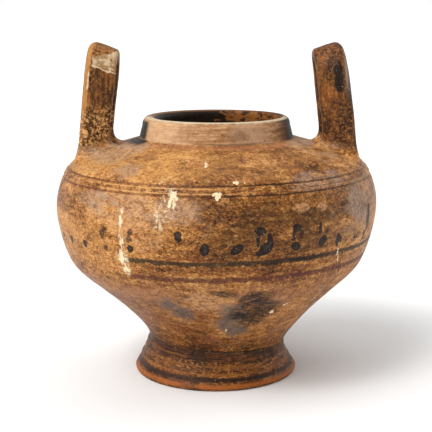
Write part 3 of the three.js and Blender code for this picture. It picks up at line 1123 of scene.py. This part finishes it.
def upper_layers(paint):
    """Dirt in the turned lines, painted highlights on the ridges beside them, and the neck."""
    turn = paint.turn
    clear = turn.window(-78, -45, 6).most(turn.window(-6, 52, 8))
    line_strength = clear.blend(0.5, 0.85)
    line_colour = paint.mix(turn.ease(-20, 10), LINE_RED, UMBER)
    level = paint.level + (paint.grain(9) - 0.5) * 0.7
    for middle, half in ((127.6, 0.45), (125.1, 0.2), (122.6, 0.5)):
        line = level.window(middle - half, middle + half, 0.45)
        paint.cover(line.broken_up(0.3, 0.9) * line_strength, line_colour)
    # Painted highlights: pale lines on the proud ridges, strongest on the left front
    for middle in (126.4, 123.9):
        ridge_highlight = level.window(middle - 0.3, middle + 0.3, 0.5) * turn.window(-48, 8, 10)
        paint.cover(ridge_highlight.broken_up(0.25, 0.8) * 0.7, PALE_TAN)
    neck_layers(paint)


def neck_layers(paint):
    """The collar: pale and streaked on the left, its paleness there partly a painted highlight, darkening
    towards its right edge as painted shade, and near-black on its far left.
    """
    turn, radius, z = paint.turn, paint.radius, paint.z
    collar = z.ease(143.4, 144.6) * radius.ease(50, 48)
    streaks = paint.grain(1.5, detail=4.0, flat=14)
    speck = paint.grain(2.2, detail=5.0, rough=0.75, flat=2.5).ease(0.36, 0.64)
    paint.cover(collar, paint.mix(speck.blend(0.25, 0.85), OCHRE, NECK_CLAY))
    paint.cover(collar * streaks.ease(0.42, 0.6) * 0.6, OCHRE)
    seen = collar * paint.facing
    # Partly painted highlight: the front of the collar paler on its left
    paint.cover(seen * turn.ease(-10, -46) * speck.blend(0.6, 0.95), NECK_CLAY)
    paint.cover(collar * turn.window(12, 40, 8) * streaks, GREY_TAN)
    # Painted shade: the front of the collar darkening to near-black towards its right edge
    right = seen * turn.ease(32, 78)
    paint.cover(right * streaks.ease(0.25, 0.6) * 0.8, BROWN)
    paint.cover(right * turn.ease(42, 66) * 0.9, UMBER)
    paint.cover(seen * turn.ease(58, 76) * 0.8, SOOT_AND_SHADE)
    # Near-black on the collar's far left and in a stripe round its foot
    black = collar * turn.window(-92, -64, 4) * z.ease(155.5, 153.5)
    stripe = turn.window(-92, -60, 5) * z.window(141.2, 144.2, 1.0)
    paint.cover(black.most(stripe) * 0.97, NEAR_BLACK)
    smear = collar * turn.window(4, 26, 6) * z.window(145.5, 151.5, 2.0)
    paint.cover(smear.broken_up(0.4, 1.0) * 0.45, BROWN)
    seam = z.window(143.9, 144.7, 0.4) * turn.window(-8, 32, 8)
    paint.cover(seam * 0.6, UMBER)
    light = z.window(141.8, 143.6, 0.6) * turn.window(-50, 60, 14)
    paint.cover(light.broken_up(0.3, 0.9) * 0.5, ROSE_CLAY)
    crest = z.ease(155.0, 156.0) * radius.ease(47, 45)
    paint.cover(crest * 0.7, BROWN)
    # Painted highlight: cream along the front of the lip's crest, broken up
    paint.cover(crest.broken_up(0.3, 0.8) * abs(turn).ease(100, 70) * 0.6, CREAM)
    inside_tint(paint)


def inside_tint(paint):
    """The inside of the mouth: tan, with black blotches that spread further towards the left."""
    throat = paint.radius.ease(40.2, 39.2) * paint.z.ease(118, 122) * paint.z.ease(156.2, 155.2)
    paint.cover(throat, OCHRE)
    blotch = paint.grain(3.6, detail=5.0, rough=0.7, flat=1.8)
    blackening = blotch + paint.x.ease(18, -14) * 0.22
    paint.cover(throat * blackening.ease(0.48, 0.58) * 0.95, NEAR_BLACK)


def lower_layers(paint):
    """Dirt and wear on the turned foot, with painted shade under the waist and painted highlights on its
    ridges and left front.
    """
    turn, level = paint.turn, paint.level
    # Painted shade: the upper foot darkened just under the waist, beneath the bowl
    shadowed = level.window(14.0, 21.5, 1.2)
    paint.cover(shadowed.broken_up(0.3, 0.95) * 0.8, UMBER)
    streaked = paint.grain(1.6, detail=4.0, rough=0.7, flat=7).ease(0.46, 0.6)
    paint.cover(level.window(3, 20, 2) * streaked * 0.6, RED_BROWN)
    # Painted highlight: gold mottling on the foot's left front
    foot_highlight = level.window(7, 15, 1.5) * turn.window(-66, 20, 14)
    paint.cover(foot_highlight * paint.gritty.ease(0.54, 0.62) * 0.8, GOLD)
    sooty = paint.grain(1.8, detail=4.0, rough=0.75, flat=6).ease(0.46, 0.36)
    paint.cover(level.window(5, 21, 1.5) * sooty * 0.85, SOOT_AND_SHADE)
    # Painted highlights: ochre lines on the foot's proud ridges
    for middle, reach in ((17.3, (-75, -25)), (12.8, (-60, 30)), (8.8, (-80, 40))):
        ridge_highlight = level.window(middle - 0.5, middle + 0.5, 0.6)
        paint.cover(ridge_highlight.broken_up(0.35, 0.8) * turn.window(*reach, 14) * 0.7, OCHRE)
    ring = level.window(4.6, 7.2, 0.9)
    paint.cover(ring.broken_up(0.3, 0.8) * 0.8, UMBER)
    paint.cover(level.window(5.2, 6.6, 0.6) * turn.window(-12, 40, 8) * 0.7, SOOT_AND_SHADE)

    # The rubbed edge of the foot shows its bare clay, and the waist's groove is darkened, most from the
    # front round to the right
    bare = paint.grain(8, detail=4.0, rough=0.7, flat=3).ease(0.38, 0.5)
    lip = level.window(1.2, 3.5, 0.7) * bare.blend(0.4, 1.0)
    paint.cover(lip * 0.85, ORANGE_CLAY, rough=0.5)
    groove = level.window(21.2, 22.0, 0.45)
    paint.cover(groove * turn.window(-20, 52, 10).blend(0.5, 0.95), SOOT_AND_SHADE)


def speckles(paint):
    """Small dark pits and pale grains all over."""
    crowd = paint.cloudy.ease(0.35, 0.7)
    fleck = paint.grain(1.1, detail=3.0, rough=0.6).ease(0.66, 0.74)
    paint.cover(fleck * crowd.blend(0.35, 0.75), CREAM)
    pock = paint.grain(1.5, detail=3.0, rough=0.65).ease(0.38, 0.29)
    paint.cover(pock * crowd.blend(0.85, 0.45), UMBER)


def handle_material():
    """The handles: dark brown fronts, painted highlights and painted shade along the outer edges, and a
    repaired left crest.
    """
    paint = bare_clay("clay_handles", BELLY_TO, HANDLE_TOP)
    x, y, z = paint.x, paint.y, paint.z
    over_shoulder = z - (158.6 - paint.radius * 0.3156)
    handle = over_shoulder.ease(2.5, 9) * abs(x).ease(47, 50)
    left = handle * x.ease(0, -1)
    right = handle * x.ease(0, 1)

    # Millimetres from the middle of each strap, whose legs lean inwards
    risen = z - 142
    across_left = x + HANDLES["left"]["reach"] - risen * 0.112
    across_right = x - HANDLES["right"]["reach"] + risen * 0.079
    cloud = paint.grain(7, detail=4.0, rough=0.65, tall=2.4)
    fine = paint.grain(1.6, detail=4.0, rough=0.7)
    mottle = (cloud + fine * 0.4).ease(0.55, 0.85)
    paint.cover(handle, paint.mix(mottle, UMBER, OCHRE))
    paint.cover(handle * paint.grain(1.7, detail=4.0, rough=0.7).ease(0.5, 0.62) * 0.5, TAN)

    # Left: dark upper front, mottled and pale low down, and a painted highlight along the outer edge with
    # painted shade at its brink
    front = y.ease(-14.5, -16)
    streaky = paint.grain(2.2, detail=4.0, rough=0.7, tall=5)
    dark_front = left * front * z.ease(158, 166) * across_left.ease(-5.5, -2.5)
    paint.cover(dark_front * streaky.ease(0.6, 0.4) * 0.8, UMBER)
    # Painted highlights: a tan strip and a cream shine along the outer edge
    outer = left * across_left.ease(-4.2, -5.6)
    paint.cover(outer.broken_up(0.2, 0.9) * 0.85, TAN)
    # Painted shade: the outermost brink darker
    shaded_brink = left * across_left.ease(-7.0, -8.6)
    paint.cover(shaded_brink.broken_up(0.2, 0.9) * 0.8, BROWN)
    shine = left * across_left.window(-5.8, -4.8, 0.9) * z.window(171, 185, 5)
    paint.cover(shine.broken_up(0.3, 0.9) * front * 0.65, CREAM)
    low = left * z.ease(170, 152)
    paint.cover(low * 0.5, UMBER)
    paint.cover(low * fine.ease(0.50, 0.56) * 0.9, PALE_TAN)
    top = left * z.ease(190, 193)
    paint.cover(top * fine.ease(0.44, 0.60) * 0.7, TAN)

    # The plaster that fills a break across the crest of the left handle
    wander = (paint.grain(3) - 0.5) * 3.0
    height = z + wander
    from_edge = across_left + 8.6
    below = 188.0 - from_edge * 0.34
    above = from_edge * 0.20 + 191.2
    over = (height - below).ease(-0.2, 0.3)
    under = (above - height).ease(-0.2, 0.3)
    inner = (across_left + wander * 1.4).ease(-5.0, -3.4)
    patch = left * over * under * y.ease(4, 0) * inner
    # Painted highlights: lighter facets on the plaster and a cream line along its lower edge
    plaster_highlight = paint.grain(4, detail=4.0, rough=0.6).ease(0.48, 0.58)
    tint = paint.mix(plaster_highlight * 0.5, PLASTER, CREAM)
    tint = paint.mix(fine.ease(0.48, 0.34), tint, OCHRE)
    paint.cover(patch * 0.92, tint, rough=0.85)
    paint.cover(patch * (height - below).ease(1.2, 0.4) * 0.5, CREAM)

    # Right: orange-brown with a black patch, a grey outer edge that is a painted highlight, and a painted
    # highlight line on the crest
    paint.cover(right * cloud.ease(0.45, 0.65) * z.ease(152, 172) * 0.3, ORANGE_CLAY)
    paint.cover(right * streaky.ease(0.54, 0.38) * 0.8, BROWN)
    paint.cover(right * z.ease(188, 195) * fine.ease(0.56, 0.44) * 0.8, UMBER)
    paint.cover(right * z.ease(168, 150) * fine.ease(0.6, 0.4) * 0.9, UMBER)
    black = right * front * across_right.window(-2.0, 3.2, 1.6) * z.window(171, 190, 4.0)
    paint.cover(black.broken_up(0.3, 0.9) * 0.95, SOOT_AND_SHADE)
    # Painted highlights: a grey strip and a gleam along the outer edge
    edge = right * across_right.ease(3.4, 5.2) * z.window(172, 190, 10)
    paint.cover(edge * paint.broken.blend(0.5, 1.0), GREY_HAZE_AND_HIGHLIGHT)
    gleam = right * across_right.window(4.6, 6.0, 0.9) * z.window(178, 189, 8)
    paint.cover(gleam * fine.blend(0.5, 1.0), GREY_TAN)
    # Painted highlight: a pale line on the front of the crest
    rim = right * front * z.window(193.6, 194.6, 0.7) * x.window(60, 68, 1.5)
    paint.cover(rim * 0.6, PALE_TAN)
    speckles(paint)
    return paint.finish()


def plain_material():
    """The unpainted clay of the inside and under the foot."""
    paint = Paint("clay_inside")
    shades = ((0.0, UMBER), (0.35, BROWN), (0.65, RED_BROWN), (1.0, TAN))
    paint.colour = paint.stops(ground_tone(paint), shades)
    paint.rough = paint.grain(7).blend(0.6, 0.85)
    paint.height = paint.grain(2.2, detail=2.0, flat=14) * 0.4
    inside_tint(paint)
    blackening = paint.grain(12, detail=4.0).ease(0.52, 0.68)
    paint.cover(blackening * 0.5, SOOT_AND_SHADE)
    return paint.finish()


def pale_floor():
    """A plain pale floor."""
    mesh = bpy.data.meshes.new("floor")
    half = 12.0
    corners = [(-half, -half, 0), (half, -half, 0), (half, half, 0), (-half, half, 0)]
    mesh.from_pydata(corners, [], [(0, 1, 2, 3)])
    floor = placed("floor", mesh)
    floor.location.z = -0.2 * MM
    material = bpy.data.materials.new("pale_floor")
    material.use_nodes = True
    shader = material.node_tree.nodes["Principled BSDF"]
    shader.inputs["Base Color"].default_value = (0.9, 0.9, 0.895, 1)
    shader.inputs["Roughness"].default_value = 0.9
    shader.inputs["Specular IOR Level"].default_value = 0.1
    mesh.materials.append(material)


def soft_sun(name, turn, rise, spread, strength):
    """A distant soft light from a turn round the pot and a rise above the floor, in degrees."""
    light = bpy.data.lights.new(name, "SUN")
    light.energy = strength
    light.angle = math.radians(spread)
    made = placed(name, light)
    made.rotation_euler = (math.radians(90 - rise), 0, math.radians(turn))


# The studio's walls are white up to this rise and dim above it, as sines
WHITE_WALL = 0.24
DIM_ABOVE = 0.5
DIM_FILL = 0.25


def studio_light():
    """A strong soft key from the left, light from above and behind, a weak fill all round."""
    soft_sun("key", -56, 46, 50, 2.1)
    soft_sun("crisp_key", -42, 50, 16, 0.8)
    soft_sun("above", 180, 72, 60, 0.8)
    soft_sun("right_rim", 112, 32, 25, 0.5)
    bpy.context.scene.view_settings.view_transform = "Standard"
    world = bpy.data.worlds.new("studio")
    world.use_nodes = True
    nodes = world.node_tree.nodes
    links = world.node_tree.links
    fill = nodes["Background"]
    fill.inputs["Color"].default_value = (1, 1, 1, 1)
    place = nodes.new("ShaderNodeTexCoord")
    apart = nodes.new("ShaderNodeSeparateXYZ")
    fade = nodes.new("ShaderNodeMapRange")
    fade.inputs["From Min"].default_value = WHITE_WALL
    fade.inputs["From Max"].default_value = DIM_ABOVE
    fade.inputs["To Min"].default_value = 1.0
    fade.inputs["To Max"].default_value = DIM_FILL
    links.new(place.outputs["Generated"], apart.inputs[0])
    links.new(apart.outputs["Z"], fade.inputs["Value"])
    links.new(fade.outputs[0], fill.inputs["Strength"])
    bpy.context.scene.world = world


# The camera that took the photograph, fitted to its outline
CAMERA_PLACE = (-0.0002, -0.65394, 0.22032)
CAMERA_PITCH = 79.14
CAMERA_LENS = 90.73


def photo_camera():
    """The photograph's point of view."""
    lens = bpy.data.cameras.new("camera")
    lens.sensor_width = 36
    lens.lens = CAMERA_LENS
    lens.clip_start = 0.01
    made = placed("camera", lens)
    made.location = CAMERA_PLACE
    made.rotation_euler = (math.radians(CAMERA_PITCH), 0, 0)
    bpy.context.scene.camera = made


photo_camera()
studio_light()
pale_floor()

clays = [
    outside_material("clay_lower", 0, BELLY_FROM, lower_layers),
    outside_material("clay_belly", BELLY_FROM, BELLY_TO, belly_layers),
    outside_material("clay_upper", BELLY_TO, LIP_TOP, upper_layers),
    plain_material(),
    handle_material(),
]
pieces = [make_body(), make_handle("left"), make_handle("right")]
for piece in pieces:
    for clay in clays:
        piece.data.materials.append(clay)
lebes = joined(pieces[0], pieces[1:])

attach(lebes, "root")
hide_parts("vessel")
